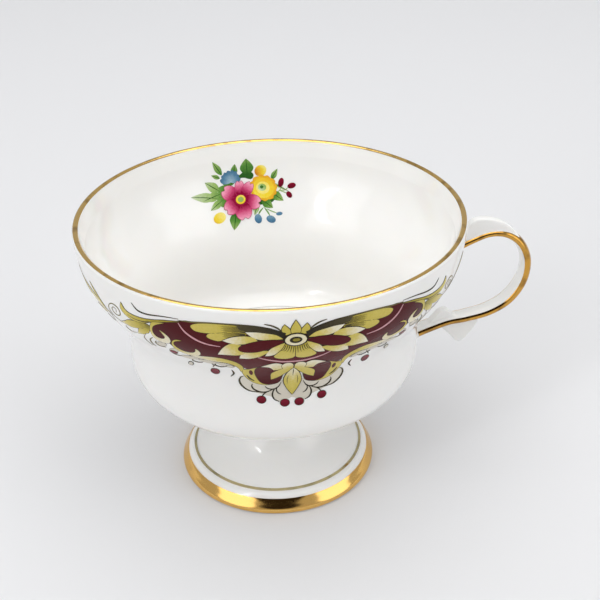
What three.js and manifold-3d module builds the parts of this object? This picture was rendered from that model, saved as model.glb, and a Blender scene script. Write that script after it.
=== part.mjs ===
// Footed bone china teacup: a flared bowl on a spreading pedestal foot, with a cast loop handle,
// gilt lines and printed transfers. Millimetres, +Z up, the handle towards +X, the base ring at z = 0.
import * as THREE from "three";
import { mergeVertices } from "three/addons/utils/BufferGeometryUtils.js";
import Module from "manifold-3d";

// Driving dimensions
const RIM_RADIUS = 46; // the bell's widest, just under the lip
const CUP_HEIGHT = 72; // over the gilded lip
const FOOT_RADIUS = 25.4; // over the gilded band
const WALL = 2.2;
const LIP_THICKNESS = 1.5;
const LIP_INSET = 0.4; // how far the lip's outer edge stands in from the bell's widest
const LIP_ROUND = 0.6; // height of the lip's rounded top

// Clearances between neighbours
const GAP = 0.3; // beside a curved or cut face, and between neighbours on the handle
const COAXIAL_GAP = 0.1; // between two turned faces with the same facets
const FILM = 0.3; // thickness given to gilding and transfers
const SLIP_THICKNESS = 0.3;

const FACETS = 48; // facets round each turned piece

// Bowl
const BELL_LIP_Z = CUP_HEIGHT - COAXIAL_GAP - FILM;
const WAIST_RADIUS = 35.8;
const CORNER_RADIUS = 10;
const CORNER_CENTRE_Z = 36.6;
const BOTTOM_PAD_RADIUS = 14;
const BOTTOM_PAD_Z = 24.9;
const FLOOR_Z = 28.4; // inside bottom

// Foot
const STEM_TOP_Z = BOTTOM_PAD_Z - SLIP_THICKNESS - 2 * COAXIAL_GAP;
const STEM_TOP_RADIUS = 12.4;
const FOOT_LINE_RADIUS = 22;
const FOOT_LINE_Z = 5.2;
const FOOT_EDGE_RADIUS = FOOT_RADIUS - COAXIAL_GAP - FILM;
const FOOT_EDGE_LOW_Z = 1.4;
const FOOT_EDGE_HIGH_Z = 2.8;
const FOOT_SHOULDER = [24.3, 4.2]; // radius and height at the top of the gilded band

// Handle strap
const STRAP_WIDTH = 4.2; // across, along Y
const STRAP_THICKNESS = 2.5; // in the plane of the loop
const STRAP_SIDES = 12;
const STRAP_STEPS = 44;
const LEAF_THICKNESS = 2.2; // thumb rest, spur and kick
const ROOTS_SPLIT_Z = 48; // above it is the upper root, and below it the lower one

// Colours
const CHINA = { color: 0xf4f2ee, roughness: 0.12, metalness: 0 };
const SLIP = { color: 0xefece6, roughness: 0.35, metalness: 0 };
const GOLD = { color: 0xc9963f, roughness: 0.2, metalness: 1 };
const BURGUNDY = { color: 0x6d1526, roughness: 0.2, metalness: 0 };
const SEPIA = { color: 0x6b6a4c, roughness: 0.2, metalness: 0 };
const ROSE = { color: 0xc2476d, roughness: 0.2, metalness: 0 };

const wasm = await Module();
wasm.setup();

// Everything is drawn about the cup's own axis in this inner group
const cup = new THREE.Group();
const aboutAxis = new THREE.Group();
cup.add(aboutAxis);

function place(name, geometry, finish) {
  const mesh = new THREE.Mesh(geometry, new THREE.MeshStandardMaterial(finish));
  mesh.name = name;
  aboutAxis.add(mesh);
}

function toSolid(geometry) {
  const bare = geometry.index ? geometry.toNonIndexed() : geometry.clone();
  bare.deleteAttribute("normal");
  bare.deleteAttribute("uv");
  const merged = mergeVertices(bare, 1e-4);
  const vertProperties = new Float32Array(merged.attributes.position.array);
  const triVerts = new Uint32Array(merged.index.array);
  return new wasm.Manifold(new wasm.Mesh({ numProp: 3, vertProperties, triVerts }));
}

function toGeometry(solid) {
  const mesh = solid.getMesh();
  const geometry = new THREE.BufferGeometry();
  geometry.setAttribute("position", new THREE.BufferAttribute(new Float32Array(mesh.vertProperties), 3));
  geometry.setIndex(new THREE.BufferAttribute(new Uint32Array(mesh.triVerts), 1));
  geometry.computeVertexNormals();
  return geometry;
}

// A turned piece: its profile is a list of [radius, height], and the axis stands up along Z
function turned(profile) {
  const points = profile.map(([radius, height]) => new THREE.Vector2(radius, height));
  const geometry = new THREE.LatheGeometry(points, FACETS);
  return geometry.rotateX(Math.PI / 2);
}

// A ring profile closes on itself
function turnedRing(profile) {
  return turned([...profile, profile[0]]);
}

// Heights and radii of the bowl's outside, from the corner's lowest point up to the lip
function bowlOutside() {
  const points = [];
  const steps = 5;
  for (let i = 0; i <= steps; i++) {
    const angle = (i / steps) * (Math.PI / 2);
    const radius = WAIST_RADIUS - CORNER_RADIUS + CORNER_RADIUS * Math.sin(angle);
    const height = CORNER_CENTRE_Z - CORNER_RADIUS * Math.cos(angle);
    points.push([radius, height]);
  }
  // The bell: waist, swelling shoulder, and the lip standing upright
  const bell = [
    [WAIST_RADIUS, 42],
    [36.3, 46],
    [37.6, 49.7],
    [39.8, 53.4],
    [42.2, 57],
    [44.2, 60.7],
    [45.4, 64.4],
    [RIM_RADIUS, 68.2],
    [RIM_RADIUS - LIP_INSET, BELL_LIP_Z - LIP_ROUND],
  ];
  return [...points, ...bell];
}

// The same run moved out from the wall (or in, for a negative distance)
function offsetRun(run, distance) {
  return run.map(([radius, height], i) => {
    const before = run[Math.max(i - 1, 0)];
    const after = run[Math.min(i + 1, run.length - 1)];
    const along = new THREE.Vector2(after[0] - before[0], after[1] - before[1]).normalize();
    return [radius + along.y * distance, height - along.x * distance];
  });
}

const outside = bowlOutside();
const lipTop = [RIM_RADIUS - LIP_INSET - LIP_THICKNESS / 2, BELL_LIP_Z];
const inside = offsetRun(outside, -WALL).filter(([, height]) => height > FLOOR_Z + 0.8);
inside.pop();
const lipInside = [RIM_RADIUS - LIP_INSET - LIP_THICKNESS, BELL_LIP_Z - LIP_ROUND];

function bowl() {
  const floor = [[inside[0][0] - 3.5, FLOOR_Z + 0.1], [0, FLOOR_Z]];
  const bottom = [[0, BOTTOM_PAD_Z], [BOTTOM_PAD_RADIUS, BOTTOM_PAD_Z]];
  const profile = [...bottom, ...outside, lipTop, lipInside, ...inside.slice().reverse(), ...floor];
  place("bowl", turned(profile), CHINA);
}

// The foot's outside, from the stem's top down to the base ring
const footOutside = [
  [STEM_TOP_RADIUS, STEM_TOP_Z],
  [11.4, 21.5],
  [11, 18],
  [11.6, 14.5],
  [13.4, 11.2],
  [16.2, 8.4],
  [19.2, 6.4],
  [FOOT_LINE_RADIUS, FOOT_LINE_Z],
  FOOT_SHOULDER,
  [FOOT_EDGE_RADIUS, FOOT_EDGE_HIGH_Z],
  [FOOT_EDGE_RADIUS, FOOT_EDGE_LOW_Z],
  [24.2, 0],
];

const footInside = [
  [21.4, 0],
  [20.6, 1.6],
  [17.6, 4.2],
  [14.2, 6.6],
  [11.2, 10],
  [9.3, 14],
  [8.6, 18],
  [7.4, 21],
  [0, 21.6],
];

function pedestalFoot() {
  place("pedestal_foot", turned([[0, STEM_TOP_Z], ...footOutside, ...footInside].reverse()), CHINA);
}

function footSlipJoint() {
  const low = STEM_TOP_Z + COAXIAL_GAP;
  const radius = STEM_TOP_RADIUS - 0.2;
  const profile = [[0, low], [radius, low], [radius, low + SLIP_THICKNESS], [0, low + SLIP_THICKNESS]];
  place("foot_slip_joint", turned(profile), SLIP);
}

// A film over a run of profile points, standing off the glaze by the coaxial gap
function filmProfile(run) {
  const near = offsetRun(run, COAXIAL_GAP);
  const far = offsetRun(run, COAXIAL_GAP + FILM);
  return [...far, ...near.reverse()];
}

// A cap over the lip: its outer skin first, and then the side next to the glaze
function rimGilding() {
  const height = CUP_HEIGHT - FILM;
  const outer = RIM_RADIUS - LIP_INSET + COAXIAL_GAP;
  const inner = RIM_RADIUS - LIP_INSET - LIP_THICKNESS - COAXIAL_GAP;
  const low = BELL_LIP_Z - 0.9;
  const profile = [
    [outer + 0.1, low],
    [outer + FILM, low],
    [outer + FILM - 0.1, height - 0.1],
    [outer - 0.4, CUP_HEIGHT],
    [inner + 0.4, CUP_HEIGHT],
    [inner - FILM, height - 0.1],
    [inner - FILM - 0.1, low],
    [inner - 0.1, low],
    [inner, height - 0.3],
    [lipTop[0] - 0.2, height],
    [lipTop[0] + 0.2, height],
    [outer, height - 0.3],
  ];
  place("rim_gilding", turnedRing(profile), GOLD);
}

function footGilding() {
  const line = [[22.6, 4.94], [FOOT_LINE_RADIUS, FOOT_LINE_Z], [20.9, 5.68]];
  place("foot_line_gilding", turnedRing(filmProfile(line)), GOLD);
  const band = [[FOOT_EDGE_RADIUS, FOOT_EDGE_LOW_Z], [FOOT_EDGE_RADIUS, FOOT_EDGE_HIGH_Z], FOOT_SHOULDER];
  place("foot_band_gilding", turnedRing(filmProfile(band)), GOLD);
}

// The loop's centre line in the XZ plane, from inside the wall at the upper root to the lower root
const LOOP = new THREE.CatmullRomCurve3(
  [
    [41, 57.2],
    [45.5, 58.4],
    [49.4, 60.1],
    [54, 61.6],
    [58.4, 61.1],
    [62, 58.2],
    [63.9, 53.4],
    [63.2, 47.6],
    [60, 42.6],
    [55, 39.6],
    [49, 38.2],
    [44.6, 37.6],
    [39.5, 36],
    [33, 33.6],
  ].map(([x, z]) => new THREE.Vector3(x, 0, z)),
);

// An oval section, wide across the strap: the path's normal lies across it
function ovalSection(width, thickness, sides) {
  const shape = new THREE.Shape();
  for (let i = 0; i < sides; i++) {
    const angle = ((i + 0.5) / sides) * 2 * Math.PI;
    const x = (width / 2) * Math.cos(angle);
    const y = (thickness / 2) * Math.sin(angle);
    if (i === 0) shape.moveTo(x, y);
    else shape.lineTo(x, y);
  }
  shape.closePath();
  return shape;
}

function alongLoop(section, steps) {
  return new THREE.ExtrudeGeometry(section, { steps, extrudePath: LOOP, bevelEnabled: false });
}

// A leaf cut from a sheet in the loop's plane: its outline is a list of [x, z]
function leaf(outline, thickness) {
  const shape = new THREE.Shape(outline.map(([x, z]) => new THREE.Vector2(x, z)));
  const sheet = new THREE.ExtrudeGeometry(shape, { depth: thickness, bevelEnabled: false });
  sheet.rotateX(Math.PI / 2);
  return sheet.translate(0, thickness / 2, 0);
}

const THUMB_REST = [
  [47.2, 60],
  [49.6, 64.4],
  [51.6, 66.6],
  [53.4, 66.2],
  [55, 64.2],
  [58, 61.6],
  [53, 60.6],
];
const SPUR = [[39.6, 37], [41.4, 39.4], [43.6, 41.4], [45.4, 40.2], [46.2, 38]];
const KICK = [[43, 36.6], [45.4, 33], [47.8, 30.4], [50, 32], [52.2, 37.4]];

// The space inside the bowl's outside, grown by a clearance
function bowlMould(clearance) {
  const run = offsetRun(outside, clearance);
  const low = run[0][1];
  return toSolid(turned([[0, low], ...run, [0, run[run.length - 1][1]]]));
}

function handle() {
  const strap = toSolid(alongLoop(ovalSection(STRAP_WIDTH, STRAP_THICKNESS, STRAP_SIDES), STRAP_STEPS));
  const leaves = [THUMB_REST, SPUR, KICK].map((outline) => toSolid(leaf(outline, LEAF_THICKNESS)));
  const whole = leaves.reduce((sum, piece) => sum.add(piece), strap);
  const clear = GAP + SLIP_THICKNESS + GAP;
  place("handle", toGeometry(whole.subtract(bowlMould(clear))), CHINA);
  const seam = strap.intersect(bowlMould(GAP + SLIP_THICKNESS)).subtract(bowlMould(GAP));
  const upperBox = new THREE.BoxGeometry(2 * RIM_RADIUS, RIM_RADIUS, CUP_HEIGHT);
  const upperHalf = toSolid(upperBox.translate(RIM_RADIUS, 0, ROOTS_SPLIT_Z + CUP_HEIGHT / 2));
  place("handle_upper_slip_joint", toGeometry(seam.intersect(upperHalf)), SLIP);
  place("handle_lower_slip_joint", toGeometry(seam.subtract(upperHalf)), SLIP);
}

// The gilt stroke: a film over the outer face of the strap, clear of the leaves and of the wall
function handleGilding() {
  const sleeve = (clearance) => {
    const section = ovalSection(STRAP_WIDTH + 2 * clearance, STRAP_THICKNESS + 2 * clearance, STRAP_SIDES);
    return toSolid(alongLoop(section, STRAP_STEPS));
  };
  const insideLoop = LOOP.getPoints(STRAP_STEPS).map((point) => [point.x, point.z]);
  const innerHalf = toSolid(leaf(insideLoop, 5 * STRAP_WIDTH));
  const clearOfLeaves = [THUMB_REST, KICK].map((outline) => {
    return toSolid(leaf(grown(outline, 2 * GAP), LEAF_THICKNESS + 2 * GAP));
  });
  let film = sleeve(GAP + FILM).subtract(sleeve(GAP)).subtract(innerHalf);
  film = clearOfLeaves.reduce((rest, piece) => rest.subtract(piece), film);
  film = film.subtract(bowlMould(4 * GAP + SLIP_THICKNESS));
  place("handle_gilding", toGeometry(film), GOLD);
}

// An outline moved out from its own middle
function grown(outline, distance) {
  const middleX = outline.reduce((sum, [x]) => sum + x, 0) / outline.length;
  const middleZ = outline.reduce((sum, [, z]) => sum + z, 0) / outline.length;
  return outline.map(([x, z]) => {
    const away = new THREE.Vector2(x - middleX, z - middleZ).normalize().multiplyScalar(distance);
    return [x + away.x, z + away.y];
  });
}

// A transfer lies on one side of the bowl: a film trimmed to an outline seen from that side.
// The outline is a list of [across, height], and the azimuth turns it about the cup's axis from the front.
function transfer(name, film, outline, azimuth, finish) {
  const depth = CUP_HEIGHT; // well past the rim
  const prism = leaf(outline, depth).translate(0, -depth / 2, 0).rotateZ(azimuth);
  place(name, toGeometry(toSolid(film).intersect(toSolid(prism))), finish);
}

function mirrored(rightHalf) {
  const leftHalf = rightHalf.slice(1, -1).reverse();
  return [...rightHalf, ...leftHalf.map(([x, z]) => [-x, z])];
}

// The winged ornament's right half, from its lowest point up to its top edge, as [across, height]
const CARTOUCHE = mirrored([
  [0, 41.2],
  [9.5, 42.3],
  [11.5, 47],
  [15, 51.5],
  [24, 56.5],
  [31, 62],
  [36.4, 67],
  [33, 68.8],
  [0, 69.4],
]);
const SPRAY = [
  [-5.5, 66.5],
  [-3, 60.5],
  [2, 58],
  [6, 60],
  [6, 66],
  [2, 68],
];
const SPRAY_AZIMUTH = THREE.MathUtils.degToRad(66);
const POSY = { across: 3.3, height: 58.6, halfWidth: 13.6, halfHeight: 7.6 };
const PRINTED_OUTSIDE = { low: 40, high: 70 }; // heights of the wall that carry transfers
const PRINTED_INSIDE = { low: 45, high: 69 };

function transfers() {
  const printed = (height, { low, high }) => height > low && height < high;
  const wallRun = outside.filter(([, height]) => printed(height, PRINTED_OUTSIDE));
  const film = turnedRing(filmProfile(wallRun));
  for (const [side, azimuth] of [["front", 0], ["back", Math.PI]]) {
    transfer(`${side}_cartouche_transfer`, film, CARTOUCHE, azimuth, BURGUNDY);
    for (const [hand, turn] of [["right", 1], ["left", -1]]) {
      const outline = SPRAY.map(([x, z]) => [turn * x, z]);
      transfer(`${side}_${hand}_spray_transfer`, film, outline, azimuth + turn * SPRAY_AZIMUTH, SEPIA);
    }
  }
  const nearWall = offsetRun(outside, -WALL - COAXIAL_GAP);
  const offWall = offsetRun(outside, -WALL - COAXIAL_GAP - FILM);
  const posyRun = (run) => run.filter((point, i) => printed(outside[i][1], PRINTED_INSIDE));
  const innerFilm = turnedRing([...posyRun(nearWall), ...posyRun(offWall).reverse()]);
  const oval = new THREE.EllipseCurve(POSY.across, POSY.height, POSY.halfWidth, POSY.halfHeight);
  const outline = oval.getPoints(16).slice(0, -1).map((point) => [point.x, point.y]);
  transfer("posy_transfer", innerFilm, outline, Math.PI, ROSE);
}

bowl();
pedestalFoot();
footSlipJoint();
rimGilding();
footGilding();
handle();
handleGilding();
transfers();

// The cup's axis stands off the origin, so that the whole object's box is centred on it
const box = new THREE.Box3().setFromObject(aboutAxis);
aboutAxis.position.x = -(box.min.x + box.max.x) / 2;

export default cup;
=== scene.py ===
"""A footed bone china teacup: the clay, its gilding and its printed enamels, on a pale studio floor.

Sizes are in millimetres about the cup's own axis, and MM turns them into metres.
"""

import math

import bmesh
import bpy
import numpy as np
from mathutils import Matrix, Vector


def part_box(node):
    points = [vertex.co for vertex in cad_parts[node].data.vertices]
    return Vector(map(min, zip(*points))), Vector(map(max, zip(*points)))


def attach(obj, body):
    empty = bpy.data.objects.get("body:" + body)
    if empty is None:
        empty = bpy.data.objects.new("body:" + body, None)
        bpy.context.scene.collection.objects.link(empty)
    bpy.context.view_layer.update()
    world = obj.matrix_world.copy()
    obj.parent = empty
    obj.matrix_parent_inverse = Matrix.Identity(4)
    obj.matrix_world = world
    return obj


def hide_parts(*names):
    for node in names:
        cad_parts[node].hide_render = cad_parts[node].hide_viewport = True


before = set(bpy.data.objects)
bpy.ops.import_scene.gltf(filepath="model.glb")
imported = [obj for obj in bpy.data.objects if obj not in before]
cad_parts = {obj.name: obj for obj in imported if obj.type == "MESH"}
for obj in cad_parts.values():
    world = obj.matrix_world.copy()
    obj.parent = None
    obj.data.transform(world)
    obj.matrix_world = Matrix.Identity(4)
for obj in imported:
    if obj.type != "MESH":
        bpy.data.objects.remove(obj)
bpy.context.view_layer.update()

MM = 0.001
bowl_low, bowl_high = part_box("bowl")
AXIS_X = (bowl_low[0] + bowl_high[0]) / 2 / MM  # the cup's axis, in mm from the frame's origin
TURN_STEPS = 192  # facets round a turned piece
SHARP_ANGLE = 40  # degrees, above which an edge shows as an edge

# The bowl's wall, measured from the foot's standing ring
RIM_RADIUS = 46.0
LIP_RADIUS = 46.2  # the outer edge of the lip, which turns out a little
LIP_HEIGHT = 71.8
LIP_THICKNESS = 1.5
WALL = 2.2
WAIST_RADIUS = 35.8
CORNER_RADIUS = 10.0
CORNER_CENTRE_HEIGHT = 36.6
FLOOR_HEIGHT = 28.4
BOTTOM_PAD = (13.0, 24.9)  # radius and height of the pad that the foot is stuck to


# ------------------------ drawing helpers


def smooth(points, closed=True, steps=6):
    """A curve through the points. A point with a third value of 1 is a sharp corner."""
    line = []
    count = len(points)
    spans = count if closed else count - 1
    for i in range(spans):
        start, end = points[i], points[(i + 1) % count]
        a, b = Vector(start[:2]), Vector(end[:2])
        sharp_start = len(start) == 3 or (not closed and i == 0)
        sharp_end = len(end) == 3 or (not closed and i == spans - 1)
        before = a if sharp_start else Vector(points[i - 1][:2])
        after = b if sharp_end else Vector(points[(i + 2) % count][:2])
        for k in range(steps):
            t = k / steps
            line.append(
                a
                + (b - before) * t / 2
                + (2 * before - 5 * a + 4 * b - after) * t**2 / 2
                + (3 * a - before - 3 * b + after) * t**3 / 2
            )
    if not closed:
        line.append(Vector(points[-1][:2]))
    return line


def offset(line, distance, closed=True):
    """The line moved sideways: to its right as it runs, for a positive distance."""
    moved = []
    last = len(line) - 1
    for i, point in enumerate(line):
        before = line[i - 1] if i or closed else point
        after = line[(i + 1) % len(line)] if i < last or closed else point
        along = (after - before).normalized()
        moved.append(point + Vector((along.y, -along.x)) * distance)
    return moved


def area(line):
    """Twice the signed area inside a closed line: positive when it runs anticlockwise."""
    return sum(p.cross(line[(i + 1) % len(line)]) for i, p in enumerate(line))


def grown(line, distance):
    """A closed line moved outwards."""
    return offset(line, distance if area(line) > 0 else -distance)


def stroke(points, width, swell=0.5):
    """The outline of one brush stroke along the points, thin at both ends and full at swell of its length."""
    middle = smooth(points, closed=False, steps=5)
    right, left = [], []
    last = len(middle) - 1
    for i, point in enumerate(middle):
        along = (middle[min(i + 1, last)] - middle[max(i - 1, 0)]).normalized()
        side = Vector((along.y, -along.x))
        t = i / last
        fullness = t / swell if t < swell else (1 - t) / (1 - swell)
        half = width / 2 * (0.25 + 0.75 * math.sin(fullness * math.pi / 2))
        right.append(point + side * half)
        left.append(point - side * half)
    return right + left[::-1]


def oval(across, up, half_width, half_height, tilt=0.0, sides=20):
    """A closed oval, tilted anticlockwise by tilt degrees."""
    lean = Matrix.Rotation(math.radians(tilt), 2)
    line = []
    for i in range(sides):
        angle = 2 * math.pi * i / sides
        reach = Vector((half_width * math.cos(angle), half_height * math.sin(angle)))
        line.append(Vector((across, up)) + lean @ reach)
    return line


# ------------------------ making pieces


def finished(name, bm, material, node):
    """Turns a bmesh in metres into a shown piece that stands for a node, in the material given."""
    mesh = bpy.data.meshes.new(name)
    bm.to_mesh(mesh)
    bm.free()
    mesh.shade_smooth()
    mesh.set_sharp_from_angle(angle=math.radians(SHARP_ANGLE))
    piece = bpy.data.objects.new(name, mesh)
    bpy.context.scene.collection.objects.link(piece)
    mesh.materials.append(material)
    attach(piece, "root")
    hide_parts(node)
    return piece


def turned(name, profile, material, node, closed=False):
    """Spins a profile of (radius, height) points round the cup's axis."""
    bm = bmesh.new()
    verts = [bm.verts.new((point[0] * MM, 0, point[1] * MM)) for point in profile]
    pairs = list(zip(verts, verts[1:]))
    if closed:
        pairs.append((verts[-1], verts[0]))
    edges = [bm.edges.new(pair) for pair in pairs]
    bmesh.ops.spin(
        bm,
        geom=verts + edges,
        cent=(0, 0, 0),
        axis=(0, 0, 1),
        angle=2 * math.pi,
        steps=TURN_STEPS,
        use_merge=True,
    )
    bmesh.ops.remove_doubles(bm, verts=bm.verts, dist=0.001 * MM)
    bmesh.ops.recalc_face_normals(bm, faces=bm.faces)
    bmesh.ops.translate(bm, verts=bm.verts, vec=(AXIS_X * MM, 0, 0))
    return finished(name, bm, material, node)


# ------------------------ colours and materials


def colour(code):
    """An sRGB hex colour as linear light."""
    parts = [int(code[i : i + 2], 16) / 255 for i in (1, 3, 5)]
    return [p / 12.92 if p <= 0.04045 else ((p + 0.055) / 1.055) ** 2.4 for p in parts] + [1.0]


def add(tree, kind, settings=None, links=None):
    """Adds one node, with its settings and with links into the inputs named."""
    node = tree.nodes.new(kind)
    for key, value in (settings or {}).items():
        if isinstance(key, int) or key in node.inputs:
            node.inputs[key].default_value = value
        else:
            setattr(node, key, value)
    for key, source in (links or {}).items():
        tree.links.new(source, node.inputs[key])
    return node


def shaded(name, **settings):
    """A new material, its node tree and its shader, with the shader's own sockets set."""
    material = bpy.data.materials.new(name)
    material.use_nodes = True
    tree = material.node_tree
    shader = tree.nodes["Principled BSDF"]
    for key, value in settings.items():
        shader.inputs[key.replace("_", " ")].default_value = value
    return material, tree, shader


def mottle(tree, size, detail=3.0, stretch=(1, 1, 1)):
    """Soft blotches about size mm across, as a factor from 0 to 1."""
    place = add(tree, "ShaderNodeTexCoord")
    scaled = add(tree, "ShaderNodeMapping", {"Scale": stretch}, {"Vector": place.outputs["Object"]})
    grain = {"Scale": 1 / (size * MM), "Detail": detail}
    noise = add(tree, "ShaderNodeTexNoise", grain, {"Vector": scaled.outputs["Vector"]})
    return noise.outputs["Fac"]


def bone_china():
    """Jiggered bone china under a clear glaze: white with a little warmth, wet-looking, faintly wavy."""
    material, tree, shader = shaded(
        "glazed_bone_china", IOR=1.52, Subsurface_Weight=0.12, Subsurface_Scale=1.5 * MM
    )
    shader.inputs["Subsurface Radius"].default_value = (1.0, 0.8, 0.6)
    body = add(
        tree,
        "ShaderNodeMix",
        {"data_type": "RGBA", 6: colour("#f5f4f1"), 7: colour("#f2f1ee")},
        {0: mottle(tree, 14)},
    )
    gloss = add(tree, "ShaderNodeMapRange", {1: 0.3, 2: 0.7, 3: 0.05, 4: 0.11}, {0: mottle(tree, 9)})
    swell = mottle(tree, 5, 2)
    ripple = add(tree, "ShaderNodeBump", {"Strength": 0.12, "Distance": 0.05 * MM}, {"Height": swell})
    tree.links.new(body.outputs[2], shader.inputs["Base Color"])
    tree.links.new(gloss.outputs[0], shader.inputs["Roughness"])
    tree.links.new(ripple.outputs["Normal"], shader.inputs["Normal"])
    return material


def fired_slip():
    """Slip wiped round a seam and fired under the glaze: a shade duller and softer than the body."""
    material, tree, shader = shaded("fired_slip_under_glaze", IOR=1.5)
    body = add(
        tree,
        "ShaderNodeMix",
        {"data_type": "RGBA", 6: colour("#efede8"), 7: colour("#e8e5de")},
        {0: mottle(tree, 3)},
    )
    gloss = add(tree, "ShaderNodeMapRange", {1: 0.3, 2: 0.7, 3: 0.15, 4: 0.3}, {0: mottle(tree, 2)})
    tree.links.new(body.outputs[2], shader.inputs["Base Color"])
    tree.links.new(gloss.outputs[0], shader.inputs["Roughness"])
    return material


def bright_gold(name, stretch, rich, worn, wear_from):
    """Bright fired gold laid with a brush: mirror-like, streaked along the stroke, rubbed thin in patches."""
    material, tree, shader = shaded(name, Metallic=1.0)
    streaks = mottle(tree, 0.5, 4, stretch)
    patches = mottle(tree, 4, 5)
    wear = add(tree, "ShaderNodeMapRange", {1: wear_from, 2: wear_from + 0.16, 3: 0.0, 4: 0.85}, {0: patches})
    tint = add(
        tree, "ShaderNodeMix", {"data_type": "RGBA", 6: colour(rich), 7: colour(worn)}, {0: wear.outputs[0]}
    )
    gloss = add(tree, "ShaderNodeMapRange", {1: 0.3, 2: 0.7, 3: 0.05, 4: 0.18}, {0: streaks})
    brush = add(tree, "ShaderNodeBump", {"Strength": 0.15, "Distance": 0.02 * MM}, {"Height": streaks})
    tree.links.new(tint.outputs[2], shader.inputs["Base Color"])
    tree.links.new(gloss.outputs[0], shader.inputs["Roughness"])
    tree.links.new(brush.outputs["Normal"], shader.inputs["Normal"])
    return material


def enamel(name, tones, grain=0.5):
    """On-glaze enamel from a printed transfer: slightly grainy, its tone changing across each shape."""
    material, tree, shader = shaded(name, IOR=1.5, Specular_IOR_Level=0.1)
    shade = add(tree, "ShaderNodeAttribute", {"attribute_name": "shade"}).outputs["Fac"]
    speck = mottle(tree, grain, 4)
    lifted = add(tree, "ShaderNodeMath", {"operation": "MULTIPLY_ADD", 1: 0.3}, {0: speck, 2: shade})
    tone = add(tree, "ShaderNodeMath", {"operation": "SUBTRACT", 1: 0.15}, {0: lifted.outputs[0]})
    ramp = add(tree, "ShaderNodeValToRGB", {}, {"Fac": tone.outputs[0]})
    while len(ramp.color_ramp.elements) < len(tones):
        ramp.color_ramp.elements.new(0.5)
    for i, code in enumerate(tones):
        stop = ramp.color_ramp.elements[i]
        stop.position = i / (len(tones) - 1)
        stop.color = colour(code)
    gloss = add(tree, "ShaderNodeMapRange", {1: 0.3, 2: 0.7, 3: 0.1, 4: 0.22}, {0: speck})
    tree.links.new(ramp.outputs["Color"], shader.inputs["Base Color"])
    tree.links.new(gloss.outputs[0], shader.inputs["Roughness"])
    return material


CHINA = bone_china()
SLIP = fired_slip()
BAND_GOLD = bright_gold("bright_gold_on_foot", (1, 1, 6), "#ecbd6c", "#d6a55a", 0.62)
RIM_GOLD = bright_gold("worn_bright_gold_on_rim", (1, 1, 3), "#e2bd72", "#ad8a4e", 0.5)
LINE_GOLD = bright_gold("thin_gold_line_on_foot", (1, 1, 3), "#c9bb90", "#aea683", 0.45)
HANDLE_GOLD = bright_gold("bright_gold_on_handle", (1, 4, 1), "#cf9d4a", "#8e6a3a", 0.5)
INKS = {
    "backing": enamel("pale_beige_transfer_enamel", ["#c4bbaa", "#ded8cb"]),
    "sepia": enamel("sepia_keyline_enamel", ["#262119", "#4c4530", "#807548"]),
    "burgundy": enamel("burgundy_ground_enamel", ["#46080e", "#580d15"], 0.8),
    "berry": enamel("crimson_berry_enamel", ["#5e0e1e", "#82182e"], 0.6),
    "ochre": enamel("ochre_to_cream_enamel", ["#6f6526", "#b9a83f", "#d1c067", "#e9e2cd"]),
    "pink": enamel("pale_pink_line_enamel", ["#c98f97", "#dcb0b4"]),
    "rose": enamel("rose_petal_enamel", ["#8a1038", "#c4446f", "#e07f9f", "#efb3c4"]),
    "yellow": enamel("yellow_flower_enamel", ["#b8641f", "#e0a32c", "#ecd03a", "#f2e58c"]),
    "blue": enamel("blue_flower_enamel", ["#2a4c6e", "#547f9c", "#a2bcc8"]),
    "leaf": enamel("green_leaf_enamel", ["#2c5a24", "#568a3a", "#97b466", "#c9d6b0"]),
}

# ------------------------ the clay


def bell_outside():
    """The bowl's outside from its rounded bottom corner up to the lip, as (radius, height)."""
    corner = []
    for i in range(16):
        angle = i / 16 * math.pi / 2
        radius = WAIST_RADIUS - CORNER_RADIUS * (1 - math.sin(angle))
        corner.append(Vector((radius, CORNER_CENTRE_HEIGHT - CORNER_RADIUS * math.cos(angle))))
    waist = (WAIST_RADIUS, CORNER_CENTRE_HEIGHT)
    bell = [
        waist,
        (35.8, 42), (36.3, 46), (37.6, 49.7), (39.8, 53.4), (42.2, 57), (44.2, 60.7), (45.4, 64.4),
        (RIM_RADIUS, 68.2),
        (LIP_RADIUS, LIP_HEIGHT - 0.7),
    ]
    return corner + smooth(bell, closed=False, steps=8)


OUTSIDE = bell_outside()
INSIDE = [point for point in offset(OUTSIDE, -WALL, closed=False) if point.y > FLOOR_HEIGHT + 0.6]


def lip():
    """The rounded lip between the outside and the inside, taking the wall from WALL down to LIP_THICKNESS."""
    middle = LIP_RADIUS - LIP_THICKNESS / 2
    half = LIP_THICKNESS / 2
    angles = [math.radians(a) for a in range(10, 180, 20)]
    return [Vector((middle + half * math.cos(a), LIP_HEIGHT - half * (1 - math.sin(a)))) for a in angles]


def bowl():
    """The bowl, from the middle of its underside up the outside, over the lip and down to its floor."""
    inner = [point for point in INSIDE if point.y < LIP_HEIGHT - 4][::-1]
    dish = [inner[-1][:], (inner[-1].x - 3, FLOOR_HEIGHT + 0.15), (0, FLOOR_HEIGHT)]
    floor = smooth(dish, closed=False, steps=6)
    shoulder = [(LIP_RADIUS - 0.1 - LIP_THICKNESS, LIP_HEIGHT - 1.6)]
    bottom = smooth([(0, BOTTOM_PAD[1]), BOTTOM_PAD, (20, 25.3), OUTSIDE[0][:]], closed=False, steps=6)
    profile = bottom[:-1] + OUTSIDE + lip() + shoulder + inner[:-1] + floor
    return turned("bowl_body", profile, CHINA, node="bowl")


FOOT_OUTSIDE = smooth(
    [
        (12.4, 24.4), (11.3, 21.6), (11.0, 18), (11.7, 14.5), (13.5, 11.2), (16.3, 8.5), (19.2, 6.6),
        (21.8, 5.25), (22.9, 4.75), (23.8, 3.8), (24.6, 2.5), (25.15, 1.5), (25.2, 0.8), (24.8, 0.2),
        (24.0, 0),
    ],
    closed=False,
)


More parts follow.
